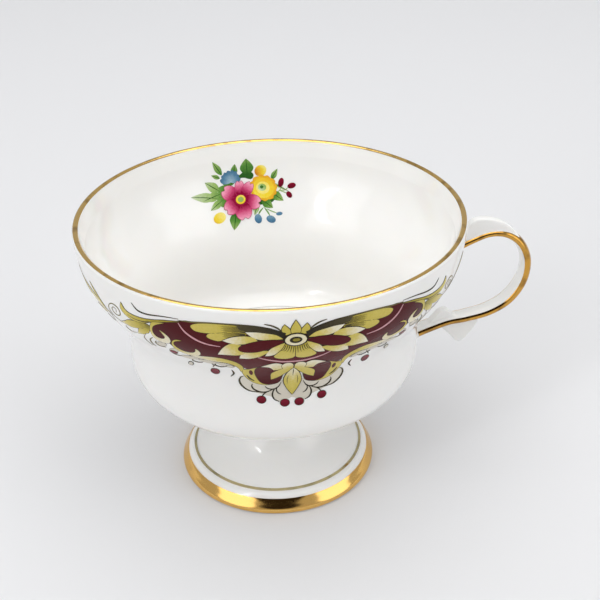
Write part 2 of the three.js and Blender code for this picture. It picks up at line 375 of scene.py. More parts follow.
def pedestal_foot():
    """The foot, hollow underneath up to just below the bowl, standing on a flat ring."""
    hollow = [
        (21.8, 0), (21.0, 0.5), (20.2, 2.0), (17.6, 4.2), (14.2, 6.6), (11.2, 10), (9.3, 14), (8.6, 18),
        (7.2, 20.9), (4, 21.6), (0, 21.7),
    ]
    profile = [Vector((0, 24.4))] + FOOT_OUTSIDE + smooth(hollow, closed=False)
    return turned("pedestal_foot_body", profile, CHINA, node="pedestal_foot")


def foot_slip():
    """The seam under the bowl: a thin disc with a small cove wiped round its edge."""
    cove = smooth([(12.35, 24.2), (12.7, 24.62), (13.6, 24.95)], closed=False)
    profile = [Vector((0, 24.2))] + cove + [Vector((0, 24.95))]
    return turned("foot_slip_seam", profile, SLIP, node="foot_slip_joint")


# ------------------------ the handle

# The loop along its middle: (reach from the axis, height, width of the strap)
LOOP = [
    (42.4, 57.6, 4.6), (45.6, 58.5, 4.0), (49.4, 60.1, 3.5), (54.0, 61.6, 3.4), (58.4, 61.1, 3.7),
    (62.0, 58.2, 4.0), (63.9, 53.4, 4.6), (63.2, 47.6, 4.9), (60.0, 42.6, 4.9), (55.0, 39.6, 4.8),
    (49.0, 38.2, 4.6), (44.6, 37.6, 4.5), (39.5, 36.0, 4.7), (34.4, 34.1, 5.0),
]
STRAP_FLATNESS = 0.56  # thickness over width
CAST_SOFTNESS = 0.24  # the size, in mm, below which the mould's edges melt together
GOLD_PROUD = 0.06  # how far gold stands off the glaze, in mm
GOLD_WRAP = 122  # degrees each way from the middle of the handle's outer face


def along(loop, steps=6):
    """Stations along a strap: its middle, the way out from the loop, and its width."""
    middle = smooth([knot[:2] for knot in loop], closed=False, steps=steps)
    width = smooth([(i, knot[2]) for i, knot in enumerate(loop)], closed=False, steps=steps)
    last = len(middle) - 1
    stations = []
    for i, point in enumerate(middle):
        onward = (middle[min(i + 1, last)] - middle[max(i - 1, 0)]).normalized()
        stations.append((point, Vector((-onward.y, onward.x)), width[i].y))
    return stations


def swept(bm, stations, section):
    """Sweeps a closed section along the stations. For a width, it gives points (outwards, sideways) in mm."""
    last_ring = None
    ends = []
    for point, outward, width in stations:
        ring = []
        for out, side in section(width):
            place = point + outward * out
            ring.append(bm.verts.new(((AXIS_X + place.x) * MM, side * MM, place.y * MM)))
        edges = [bm.edges.new(pair) for pair in zip(ring, ring[1:] + ring[:1])]
        if last_ring:
            bmesh.ops.bridge_loops(bm, edges=last_ring + edges)
        last_ring = edges
        ends.append(edges)
    for cap in (ends[0], ends[-1]):
        bmesh.ops.contextual_create(bm, geom=cap)


def strap(width, sides=28):
    """The strap's section: a flat oval."""
    angles = [2 * math.pi * i / sides for i in range(sides)]
    return [(width * STRAP_FLATNESS / 2 * math.cos(a), width / 2 * math.sin(a)) for a in angles]


def gold_crescent(width, sides=22):
    """The gold's section: a thin skin over the outer face that wraps well down both flanks."""
    angles = [math.radians(GOLD_WRAP * (2 * i / (sides - 1) - 1)) for i in range(sides)]
    skin = width / 2 + GOLD_PROUD
    thickness = width * STRAP_FLATNESS / 2
    outer = [((thickness + GOLD_PROUD) * math.cos(a), skin * math.sin(a)) for a in angles]
    inner = [((thickness - 0.35) * math.cos(a) - 0.02, (width / 2 - 0.35) * math.sin(a)) for a in angles]
    return outer + inner[::-1]


# Outlines of the small cast ornaments in the loop's own plane, as (reach, height), with their thickness
THUMB_REST = [
    (46.6, 59.2), (47.4, 62.2), (48.8, 64.7), (50.8, 65.9), (53.8, 65.7), (57.0, 64.6), (60.0, 62.4),
    (61.8, 59.4), (58.2, 61.0), (54.0, 61.4), (50.0, 60.2),
]
SPUR = [(39.8, 36.6), (41.0, 39.0), (43.2, 40.9), (45.0, 40.2), (46.6, 38.0)]
KICK = [(43.0, 37.2), (45.2, 33.6), (47.6, 31.2), (49.8, 32.6), (52.4, 37.8)]


def cast_leaf(bm, outline, thickness):
    """A small moulded leaf, with its edges rounded over."""
    line = smooth(outline, steps=4)
    verts = [bm.verts.new(((AXIS_X + p.x) * MM, -thickness / 2 * MM, p.y * MM)) for p in line]
    edges = [bm.edges.new(pair) for pair in zip(verts, verts[1:] + verts[:1])]
    leaf = bmesh.ops.contextual_create(bm, geom=edges)
    raised = bmesh.ops.extrude_face_region(bm, geom=leaf["faces"])["geom"]
    top = [part for part in raised if isinstance(part, bmesh.types.BMVert)]
    bmesh.ops.translate(bm, verts=top, vec=(0, thickness * MM, 0))


def handle():
    """The loop with its cast leaves, melted together as slip and glaze melt a moulding's edges."""
    bm = bmesh.new()
    swept(bm, along(LOOP), strap)
    cast_leaf(bm, THUMB_REST, 2.3)
    cast_leaf(bm, SPUR, 2.4)
    cast_leaf(bm, KICK, 2.4)
    bmesh.ops.recalc_face_normals(bm, faces=bm.faces)
    piece = finished("handle_body", bm, CHINA, node="handle")
    cast = piece.modifiers.new("cast", "REMESH")
    cast.mode = "VOXEL"
    cast.voxel_size = CAST_SOFTNESS * MM
    cast.use_smooth_shade = True
    soften = piece.modifiers.new("soften", "SMOOTH")
    soften.factor = 0.5
    soften.iterations = 6


def handle_gold():
    """The gold down the loop's outer face, stopping short of both roots."""
    bm = bmesh.new()
    swept(bm, along(LOOP)[5:-3], gold_crescent)
    bmesh.ops.recalc_face_normals(bm, faces=bm.faces)
    finished("handle_gold_line", bm, HANDLE_GOLD, node="handle_gilding")


def handle_joint(name, loop, node):
    """The collar of slip at a root: it flares from the strap's own size as it meets the wall."""
    bm = bmesh.new()
    swept(bm, along(loop, steps=4), strap)
    bmesh.ops.recalc_face_normals(bm, faces=bm.faces)
    finished(name, bm, SLIP, node=node)


# ------------------------ gold on the turned edges


def ring(name, line, material, node):
    """A thin skin of gold over a run of the profile, with its underside in the glaze."""
    profile = offset(line, GOLD_PROUD, closed=False) + offset(line, -0.15, closed=False)[::-1]
    turned(name, profile, material, closed=True, node=node)


def stretch_of(line, low, high):
    """The part of a profile between two heights."""
    return [point for point in line if low <= point.y <= high]


def edge_gold():
    """The gold over the lip, the broad band round the foot's edge and the line above it."""
    ring("rim_gold", lip()[2:-1], RIM_GOLD, "rim_gilding")
    foot = smooth([point[:] for point in FOOT_OUTSIDE], closed=False, steps=6)
    ring("foot_band_gold", stretch_of(foot, 0.6, 3.9), BAND_GOLD, "foot_band_gilding")
    ring("foot_line_gold", stretch_of(foot, 5.1, 5.4), LINE_GOLD, "foot_line_gilding")


# ------------------------ printed transfers

FILM = 0.025  # each layer of ink stands this much prouder than the one under it, in mm
SUNK = -0.08  # the underside of every film, in the glaze
BEND_STEP = 1.0  # a film is cut this often, so that it follows the wall
KEYLINE = 0.13  # how far the dark line stands out round a shape


class Wall:
    """A turned wall to print on. Places are in mm: across and up from the picture's middle, and proud."""

    def __init__(self, profile, middle_height, azimuth, facing):
        line = np.array([point[:] for point in profile])
        run = np.concatenate(([0], np.cumsum(np.hypot(*np.diff(line, axis=0).T))))
        self.run = run - np.interp(middle_height, line[:, 1], run)
        self.columns = [*line.T, *np.gradient(line, run, axis=0).T]
        self.azimuth = math.radians(azimuth)
        self.facing = facing  # 1 for the outside and -1 for the inside

    def place(self, across, up, proud):
        radius, height, spread, climb = (np.interp(up, self.run, column) for column in self.columns)
        angle = self.azimuth + self.facing * across / radius
        reach = radius + self.facing * proud * climb
        lift = -self.facing * proud * spread
        return Vector((AXIS_X + reach * math.cos(angle), reach * math.sin(angle), height + lift))


class Picture:
    """A printed picture, kept flat. Each ink becomes one piece when the picture is fired on a wall.

    A mirrored picture gets every shape on both sides of its middle, unless it is laid once.
    """

    def __init__(self, *inks, mirrored=False):
        self.sides = (1, -1) if mirrored else (1,)
        self.films = {ink: bmesh.new() for ink in inks}
        for film in self.films.values():
            film.verts.layers.float.new("shade")
            film.verts.layers.float.new("proud")

    def lay(self, ink, layer, outline, fade=0.5, once=False):
        """Lays down one shape.

        fade is its tone, or a root and a tip, each (across, up, tone), that its tone runs between.
        """
        film = self.films[ink]
        shade = film.verts.layers.float["shade"]
        proud = film.verts.layers.float["proud"]
        root, tip = fade if isinstance(fade, tuple) else ((0, 0, fade), (0, 1, fade))
        way = Vector(tip[:2]) - Vector(root[:2])
        for side in self.sides[:1] if once else self.sides:
            verts = []
            for point in outline:
                vert = film.verts.new((side * point.x, point.y, 0))
                part = (point - Vector(root[:2])).dot(way) / way.length_squared
                vert[shade] = root[2] + (tip[2] - root[2]) * min(max(part, 0), 1)
                vert[proud] = FILM * (layer + 1)
                verts.append(vert)
            film.faces.new(verts)

    def outlined(self, ink, layer, outline, fade=0.5, once=False, line=KEYLINE):
        """Lays down one shape with a dark line round it."""
        self.lay("sepia", layer - 0.5, grown(outline, line), 0.25, once)
        self.lay(ink, layer, outline, fade, once)

    def cut(self):
        """Cuts every film finely enough to bend, and gives it its thickness."""
        for film in self.films.values():
            proud = film.verts.layers.float["proud"]
            film.normal_update()
            bmesh.ops.triangulate(film, faces=film.faces, ngon_method="EAR_CLIP")
            for axis in (0, 1):
                along_axis = [vert.co[axis] for vert in film.verts]
                across_axis = Vector((1 - axis, axis, 0))
                first, last = (math.ceil(end(along_axis) / BEND_STEP) for end in (min, max))
                for k in range(first, last):
                    place = across_axis * k * BEND_STEP
                    everything = film.verts[:] + film.edges[:] + film.faces[:]
                    bmesh.ops.bisect_plane(
                        film, geom=everything, dist=0.002, plane_co=place, plane_no=across_axis
                    )
            raised = bmesh.ops.extrude_face_region(film, geom=film.faces[:])["geom"]
            upper = {part for part in raised if isinstance(part, bmesh.types.BMVert)}
            for vert in film.verts:
                vert.co.z = vert[proud] if vert in upper else SUNK
            bmesh.ops.triangulate(film, faces=film.faces)
            bmesh.ops.recalc_face_normals(film, faces=film.faces)

    def fire(self, wall, name, node):
        """Bends a copy of each film round the wall."""
        for ink, film in self.films.items():
            bm = film.copy()
            for vert in bm.verts:
                vert.co = wall.place(*vert.co) * MM
            finished(f"{name}_{ink}", bm, INKS[ink], node=node)


def shaded_oval(picture, ink, layer, place, dark, pale):
    """Lays down one oval, its tone running from dark at its foot to pale at its head."""
    across, up = place[:2]
    picture.lay(ink, layer, oval(*place), ((across, up - 1, dark), (across, up + 1, pale)))


def drawn(points, steps=4):
    """The outline through a shape's points, with a third value of 1 at its sharp tips."""
    return smooth(points, steps=steps)


def leaf_outline(base, tip, width, full=0.45):
    """A pointed leaf from base to tip, widest at full of its length."""
    base, tip = Vector(base), Vector(tip)
    way = tip - base
    side = Vector((-way.y, way.x)).normalized() * width / 2
    belly = base + way * full
    near_tip = base + way * 0.8
    near_base = base + way * 0.15
    points = [
        (*base, 1),
        tuple(near_base - side * 0.6),
        tuple(belly - side),
        tuple(near_tip - side * 0.5),
        (*tip, 1),
        tuple(near_tip + side * 0.5),
        tuple(belly + side),
        tuple(near_base + side * 0.6),
    ]
    return smooth(points, steps=3)


def petal_outline(base, tip, width, notch=0.0):
    """A round-ended petal from base to tip, with a notch in its end."""
    base, tip = Vector(base), Vector(tip)
    way = tip - base
    side = Vector((-way.y, way.x)).normalized() * width / 2
    points = [
        base - side * 0.35,
        base + way * 0.45 - side * 0.95,
        base + way * 0.8 - side * 0.9,
        base + way - side * 0.4,
        base + way * (1 - notch),
        base + way + side * 0.4,
        base + way * 0.8 + side * 0.9,
        base + way * 0.45 + side * 0.95,
        base + side * 0.35,
    ]
    return smooth([tuple(p) for p in points], steps=3)


# ------------------------ the cartouche


def wing(picture):
    """The burgundy field with its border, hooked ends and pink lines."""
    field = drawn([
        (0, -1.5, 1), (2.2, 1.8, 1), (8, 3.2), (14, 3.9), (18, 3.9), (21.5, 3.5), (23, 3.4), (25, 2.8),
        (27, 2.1), (29, 1.3), (30.5, 0.2), (31.3, -1.2), (31.3, -3.2), (30.0, -4.7), (27.6, -4.6),
        (26.6, -5.6), (25.6, -7.0), (24, -7.8), (22, -8.2), (19.5, -7.6), (17, -7.1), (14, -7.6),
        (11.8, -9.0), (10.7, -11), (9.4, -12, 1), (8, -10.8), (6, -10.2), (3, -9.4), (0, -9.6, 1),
    ])
    picture.outlined("burgundy", 1, field, ((0, -9, 0.9), (30, 1, 0.2)))
    picture.lay("pink", 4, stroke([(24.5, 2.6), (23.2, 0.6), (21, -1.1), (18.5, -2.1), (15.5, -2.4)], 0.42))
    arc = [(-8, -5.4), (-6.6, -6.3), (-5, -7), (-2.5, -7.8), (0, -8)]
    arc += [(2.5, -7.8), (5, -7), (6.6, -6.2), (8, -5.2)]
    picture.lay("pink", 4, stroke(arc, 0.5), once=True)


def hooks(picture):
    """Two cream-yellow scrolls that close each end of the wing."""
    first = [
        (31.0, 0.9), (31.7, -0.4), (31.9, -2.0), (31.5, -3.7), (30.5, -4.9), (28.9, -5.3), (27.5, -4.9),
        (26.9, -3.9), (27.1, -2.7), (28.0, -1.7), (29.4, -0.9, 1), (28.6, -1.9), (28.2, -2.7), (28.4, -3.4),
        (29.3, -3.8), (30.5, -3.5), (31.2, -2.5), (31.3, -1.3), (30.8, -0.1), (29.4, 0.9), (28, 1.6, 1),
    ]
    second = [
        (24.2, -2.6, 1), (25.2, -2.6), (26.1, -3.1), (26.6, -4.2), (26.5, -5.4), (25.8, -6.6), (24.4, -7.6),
        (22.6, -8.1), (21.1, -7.9), (20.2, -7.1), (20.0, -6.0), (20.5, -5.0), (21.1, -4.6, 1), (21.1, -5.6),
        (21.6, -6.4), (22.6, -6.8), (23.9, -6.7), (25.1, -6.1), (26.0, -5.1), (26.2, -4.1), (25.6, -3.2),
    ]
    for line, fade in ((first, ((31, 1, 0.45), (28, -4, 1.0))), (second, ((25, -3, 0.5), (21, -7, 0.95)))):
        picture.outlined("ochre", 3, drawn(line, 3), fade, line=0.1)


def border(picture):
    """The green-gold band under the wing, and the cream scallops and small scrolls below it."""
    band = drawn([
        (20.2, -7.6, 1), (17, -7.1), (14.5, -7.4), (12.3, -8.5), (11, -10.2), (10.6, -12, 1),
        (11.1, -13.6, 1), (11.6, -11.8), (12.7, -10.2), (14.4, -9.2), (17, -9.2), (20, -8.8),
        (22.6, -8.5, 1),
    ])
    picture.outlined("ochre", 2, band, ((13, -7, 0.45), (18, -10, 1.0)))
    scallops = [
        (14.4, -10.6, 2.0, 0.9, 20), (18.4, -10.0, 2.2, 0.8, 4), (22.6, -9.6, 2.2, 0.8, -8),
        (26.2, -7.6, 1.8, 0.8, -38), (29.6, -6.6, 1.6, 0.9, -30),
    ]
    for scallop in scallops:
        picture.outlined("backing", 1, oval(*scallop), line=0.07)
    for line in (
        [(13.2, -13), (12.7, -14.8), (13.4, -16.5)],
        [(14.2, -11.2), (15.4, -11.9), (16.8, -11.4), (16.6, -10.4)],
        [(19.6, -10.9), (20.8, -11.5), (22.0, -11.1), (22.0, -10.2)],
        [(24.4, -9.9), (26.0, -10.2), (27.2, -9.4), (27.0, -8.4)],
        [(28.4, -7.4), (30.2, -7.8), (31.2, -6.8), (30.8, -5.8)],
        [(31.6, -4.6), (32.6, -6.2), (32.4, -8.0), (31.4, -9.2)],
    ):
        picture.lay("sepia", 2, stroke(line, 0.42), ((13, 0, 0.3), (31, 0, 0.8)))
    picture.outlined("backing", 2, oval(13.6, -11.0, 0.75, 0.6), line=0.12)


def wing_lobes(picture):
    """The dark sweep from the eye into the wing, and the two yellow lobes that it feeds."""
    upper_lobe = drawn([
        (9.6, 2.5, 1), (10.5, 3.6), (14, 3.85), (18, 3.7), (20.6, 3.2), (21.7, 2.4), (20.9, 1.4),
        (19.2, 1.15), (17.2, 1.35), (14, 2.0),
    ])
    lower_lobe = drawn([
        (9.6, 2.0, 1), (12, 2.2), (14, 1.95), (16.2, 1.7), (17.9, 1.0), (18.3, 0.2), (17.3, -0.45),
        (15.5, -0.65), (13, 0.7), (10.6, 1.2),
    ])
    picture.outlined("ochre", 2, lower_lobe, ((9, 2, 0.1), (14.5, 0.4, 0.58)))
    picture.outlined("ochre", 2.5, upper_lobe, ((9, 3, 0.1), (16, 2.6, 0.58)))
    for i in range(6):
        up = 3.5 - 0.24 * i
        reach = 15.2 - 0.5 * (i % 2)
        picture.lay("sepia", 3, stroke([(10, up - 0.2), (12.4, up), (reach, up - 0.1)], 0.16, 0.2))
    for i in range(5):
        up = 1.9 - 0.26 * i
        reach = 14.6 + 0.4 * (i % 2)
        picture.lay("sepia", 3, stroke([(10.2, 1.8 - 0.1 * i), (12.4, up), (reach, up - 0.3)], 0.15, 0.2))
    sweep = drawn([
        (2.0, 1.9, 1), (5, 3.2), (8, 3.9), (11, 4.15), (14, 4.2), (18, 4.05), (21.6, 3.6), (24.6, 3.3, 1),
        (21.4, 3.35), (18, 3.75), (14, 3.9), (12, 3.75), (11.4, 2.9), (9.4, 2.3), (6, 2.0), (4, 1.4),
        (2.4, 0.5, 1),
    ])
    picture.lay("sepia", 3.5, sweep, ((4, 1, 0.05), (16, 4, 0.8)))


def drop_and_petals(picture):
    """The burgundy drop on each side of the eye, in its fan of cream-tipped petals."""
    petals = [
        ((4, 0.3), (9.6, 2.2), [
            (2.6, 0.4, 1), (4, 1.5), (6, 2.0), (8, 2.3), (10.2, 2.3, 1), (9.3, 1.4), (8.2, 0.6), (6, 0.2),
        ]),
        ((9, -0.4), (14.4, -0.1), [
            (7.6, -0.3, 1), (8.4, 0.8), (10, 1.2), (12, 1.0), (13.5, 0.5), (15.0, -0.4, 1), (13.5, -0.95),
            (11.6, -1.2),
        ]),
        ((11.6, -3), (15.8, -5), [
            (11.2, -1.4, 1), (13.0, -1.1), (14.3, -1.9), (15.3, -3.3), (16.1, -5.3, 1), (14, -5.1),
            (12, -5.0), (10.4, -4.0),
        ]),
        ((8.4, -3.6), (10.8, -6.1), [
            (10.6, -3.6, 1), (11.2, -4.6), (11.5, -6.2, 1), (9.5, -6.2), (8, -5.6), (6.8, -4.8),
            (5.5, -3.2), (8, -3.2),
        ]),
        ((3.2, -1.6), (5.9, -4.9), [
            (2.3, -0.8, 1), (4, -1.6), (5.4, -2.9), (6.2, -5.0, 1), (4.3, -4.5), (2.4, -1.8),
        ]),
    ]
    for root, tip, line in petals:
        picture.outlined("ochre", 5, drawn(line), ((*root, 0.55), (*tip, 1.05)))
    drop = [
        (2.3, -0.2, 1), (4, 0.2), (6, 0.15), (8, -0.2), (10, -0.95), (11.3, -1.8), (11.7, -2.6),
        (11.3, -3.3), (10, -3.65), (8, -3.45), (6, -2.6), (4, -1.5), (2.6, -0.6),
    ]
    picture.outlined("burgundy", 6, drawn(drop), ((4, 0, 0.4), (10, -2, 0.7)))


def eye(picture):
    """The eye, its crown above and its pleated skirt below."""
    skirt = [
        (0.08, -1.2, 1), (0.08, -5.5, 1), (0.7, -6.1), (2, -6.35), (3.6, -6.0), (4.4, -5.2), (3.7, -4),
        (2.8, -2.8), (2.1, -1.0, 1),
    ]
    picture.outlined("ochre", 6.5, drawn(skirt), ((0, -1.4, 0.25), (1, -4.6, 0.62)))
    for i in range(5):
        across = 0.35 + 0.42 * i
        end = (across * 1.55, -4.2 + 0.28 * i)
        picture.lay("sepia", 7, stroke([(across, -1.4), (across * 1.22, -2.8), end], 0.2, 0.2))
    side_tip = [(0.4, 1.4, 1), (1.4, 3.0), (2.3, 4.0, 1), (2.9, 2.8), (2.2, 1.4, 1)]
    middle_tip = [(-0.8, 1.4, 1), (-1.0, 3.0), (0, 5.0, 1), (1.0, 3.0), (0.8, 1.4, 1)]
    picture.outlined("ochre", 3, drawn(side_tip))
    picture.outlined("ochre", 3.6, drawn(middle_tip), once=True)
    picture.lay("sepia", 3, stroke([(2.6, 2.0), (3.6, 3.1), (4.9, 3.9), (6.4, 4.3)], 0.34))
    picture.lay("sepia", 8, oval(0, 0, 2.5, 1.85, sides=32), 0.1, once=True)
    picture.lay("ochre", 8.6, oval(0, 0, 2.2, 1.58, sides=32), 0.9, once=True)
    picture.lay("sepia", 9.2, oval(0, 0, 1.3, 0.9, sides=24), 0.1, once=True)
    picture.lay("ochre", 9.8, oval(0.1, 0.02, 0.8, 0.42, sides=20), 0.12, once=True)


def lower_lobes(picture):
    """The hanging part: two lobes with burgundy hearts, sprigs of cream leaves and the pendant leaf."""
    lobe = [
        (9.4, -12, 1), (10.7, -12.2, 1), (10.8, -14), (9.9, -16.4), (8.2, -18.3), (6, -19.0), (4, -18.7),
        (2.7, -17.6), (2.2, -14), (3, -10, 1), (6, -9.8),
    ]
    picture.outlined("ochre", 2, drawn(lobe), ((6, -11, 0.5), (10, -15, 0.62)))
    heart = [
        (3.4, -10.6, 1), (5.4, -10.2), (7.6, -10.8), (8.2, -13), (7.7, -16), (6.6, -18.3), (4.6, -18.8),
        (2.8, -17.8), (2.4, -14.6),
    ]
    picture.outlined("burgundy", 3, drawn(heart), ((5, -11, 0.7), (5, -18, 0.2)))
    picture.lay("burgundy", 3, oval(9.0, -13.6, 0.42, 1.25, -6))
    picture.lay("sepia", 3, stroke([(8.2, -17.6), (9.2, -16.6), (9.9, -15.0)], 0.5))
    sprigs = [
        ([(0.15, -11.8, 1), (0.2, -9.6), (0.9, -8.6), (2, -8.8), (2.6, -10), (2.2, -11.8, 1)], 5.0),
        ([
            (2.0, -11.8, 1), (2.3, -9.6), (3.6, -8.5), (5, -8.8), (6.9, -10.2, 1), (5.2, -10.6),
            (4.2, -12.2, 1),
        ], 4.4),
        ([
            (0.5, -11.9, 1), (2.2, -11.6), (3.9, -12.9), (4.7, -14.2), (4.6, -16.8, 1), (3.2, -15.8),
            (1.6, -13.8),
        ], 5.4),
    ]
    for line, layer in sprigs:
        picture.outlined("ochre", layer, drawn(line), ((1.4, -12.6, 0.55), (3.2, -9.2, 1.0)))
    pendant = [
        (0, -11.4, 1), (1.2, -13.8), (1.9, -17.4), (1.2, -20.2), (0, -22.4, 1), (-1.2, -20.2),
        (-1.9, -17.4), (-1.2, -13.8),
    ]
    picture.outlined("ochre", 6, drawn(pendant), ((0, -12, 0.95), (0, -18, 0.52)), once=True, line=0.17)
    picture.lay("sepia", 7, stroke([(0, -11.8), (0, -13.6), (0, -15.4)], 0.2, 0.3), once=True)
    picture.lay("sepia", 7, stroke([(0.9, -15.2), (1.15, -17.0), (1.05, -18.8)], 0.14))


def curls_and_berries(picture):
    """The fine curls under the lobes on their pale backing, and the crimson berries that hang from them."""
    backing = [
        (0, -17, 1), (4, -17.6), (8.6, -16.6), (11.2, -15.8), (11.4, -18.3), (9.9, -20.6), (7.5, -21.9),
        (4.5, -23.0), (2.6, -24.4), (0, -23.3, 1),
    ]
    picture.lay("backing", 0, drawn(backing), ((0, -20, 0.5), (11, -18, 0.9)))
    curls = [
        ([(2.4, -18.2), (2.9, -19.6), (3.6, -20.4), (4.6, -20.6), (5.5, -20.2), (5.9, -19.5)], 0.34),
        ([(3.8, -20.4), (5.4, -21.4), (7, -21.5), (8.4, -20.6), (8.8, -19.5), (8.6, -18.8)], 0.42),
        ([(7.2, -21.6), (9.4, -21.2), (10.9, -19.8), (11.5, -18), (11.2, -16.4), (10.6, -15.8)], 0.46),
        ([(3.4, -20), (4.1, -21.2), (4.3, -22.6), (3.8, -23.8), (2.8, -24.4)], 0.36),
        ([(3.2, -19.8), (3.4, -21), (3, -21.9), (2.4, -22.3)], 0.28),
        ([(5.2, -21.3), (6.1, -22), (6.6, -23.0)], 0.3),
    ]
    for line, width in curls:
        picture.lay("sepia", 2, stroke(line, width), ((2, -19, 0.0), (11, -18, 0.4)))
    for across, up, wide, tall in (
        (1.6, -24.8, 0.98, 0.98),
        (6.75, -23.8, 0.98, 1.0),
        (16.9, -14.8, 0.98, 1.4),
        (26.6, -8.8, 0.95, 0.75),
    ):
        picture.outlined("berry", 3, oval(across, up, wide, tall), ((across, up - 1, 0), (across, up + 1, 1)))
    picture.outlined("backing", 3, oval(22.6, -13.2, 0.5, 0.95, 8), line=0.2)
    picture.lay("sepia", 3, stroke([(17.4, -12.6), (17.1, -11.6), (17.6, -10.9)], 0.3))


def tails(picture):
    """The pale green leaves and fine lines that trail off beyond each end."""
    feeler = [(24.4, 3.6), (28, 3.3), (32, 2.6), (34.4, 2.6), (35.6, 3.3), (36.4, 4.2)]
    picture.lay("sepia", 1, stroke(feeler, 0.4, 0.6), ((25, 0, 0.5), (36, 0, 0.2)))
    main_leaf = [
        (24, 3.0, 1), (28, 2.3), (31, 1.5), (34, 0.9), (37, 0.8), (38.8, 1.4), (39.8, 2.9, 1), (40.2, 1.3),
        (39.4, 0.1), (37.5, -0.8), (35, -0.7), (33, -0.1), (31.2, 0.8), (28, 1.9),
    ]
    picture.outlined("ochre", 2.4, drawn(main_leaf), ((31, 1, 0.2), (39, 1, 0.66)))
    for tip, width, layer in (((41.3, -4.0), 2.4, 1.6), ((36.2, -5.8), 2.0, 1.2), ((33.8, -4.4), 1.3, 0.8)):
        leaf = leaf_outline((32.0, -0.6), tip, width, 0.6)
        picture.outlined("ochre", layer, leaf, ((32, -0.6, 0.05), (*tip, 0.9)))
    picture.lay("sepia", 2.6, stroke([(31.4, 0.8), (33.4, 0.1), (36, -0.2), (38.2, 0.2)], 0.3, 0.2))
    spiral = [
        (42.4, -1.4), (42.2, -0.4), (43.0, 0.0), (43.8, -0.7), (43.4, -1.9), (42.0, -2.2), (40.9, -1.2),
        (41.2, 0.4), (42.8, 1.0), (44.4, 0.3), (45.3, -1.4), (44.5, -3.0), (42.8, -3.9), (41.0, -4.2),
    ]
    picture.lay("sepia", 1, stroke(spiral, 0.3), 0.9)
    for line in (
        [(33.6, -4.4), (34.4, -6.4), (33.8, -8.2), (32.4, -9.6)],
        [(36.4, -5.6), (38.2, -6.6), (39.8, -6.0), (40.0, -4.8)],
    ):
        picture.lay("sepia", 1, stroke(line, 0.3), 0.8)


def cartouche():
    """The whole winged ornament, printed once and fired on the front and the back."""
    picture = Picture("backing", "sepia", "burgundy", "berry", "ochre", "pink", mirrored=True)
    wing(picture)
    hooks(picture)
    border(picture)
    wing_lobes(picture)
    drop_and_petals(picture)
    eye(picture)
    lower_lobes(picture)
    curls_and_berries(picture)
    tails(picture)
    picture.cut()
    for name, azimuth in (("front_cartouche", -90), ("back_cartouche", 90)):
        wall = Wall(OUTSIDE, 64.5, azimuth, 1)
        picture.fire(wall, name, f"{name}_transfer")


def sprays():
    """Four sprigs between the cartouches: a long pale leaf with a second below it, and fine curls."""
    for name, turn, hand in (
        ("front_left_spray", -90 - 67, -1),
        ("front_right_spray", -90 + 67, 1),
        ("back_left_spray", 90 + 67, 1),
        ("back_right_spray", 90 - 67, -1),
    ):
        picture = Picture("sepia", "ochre")
        upper = leaf_outline((-7.0, -3.4), (5.6, 1.8), 2.0, 0.5)
        lower = leaf_outline((-4.4, -3.6), (3.4, -5.6), 1.9, 0.6)
        small = leaf_outline((-5.4, -2.6), (-0.8, 3.0), 1.2, 0.6)
        for leaf, fade in (
            (upper, ((-7, -3, 0.3), (4, 1, 0.95))),
            (lower, ((-4, -3, 0.3), (3, -5, 0.9))),
            (small, 0.5),
        ):
            picture.outlined("ochre", 2, [Vector((p.x * hand, p.y)) for p in leaf], fade, line=0.09)
        for line in (
            [(1.2, -1.2), (3.0, -2.0), (4.6, -1.2), (4.8, 0.4), (3.6, 1.0)],
            [(-6.6, -3.8), (-5.6, -6.0), (-3.4, -7.2), (-1.2, -6.6)],
            [(5.4, 2.2), (6.2, 3.0), (6.0, 4.0)],
        ):
            picture.lay("sepia", 1, [Vector((p.x * hand, p.y)) for p in stroke(line, 0.3)], 0.85)
        picture.cut()
        picture.fire(Wall(OUTSIDE, 64.0, turn, 1), name, f"{name}_transfer")


# ------------------------ the posy


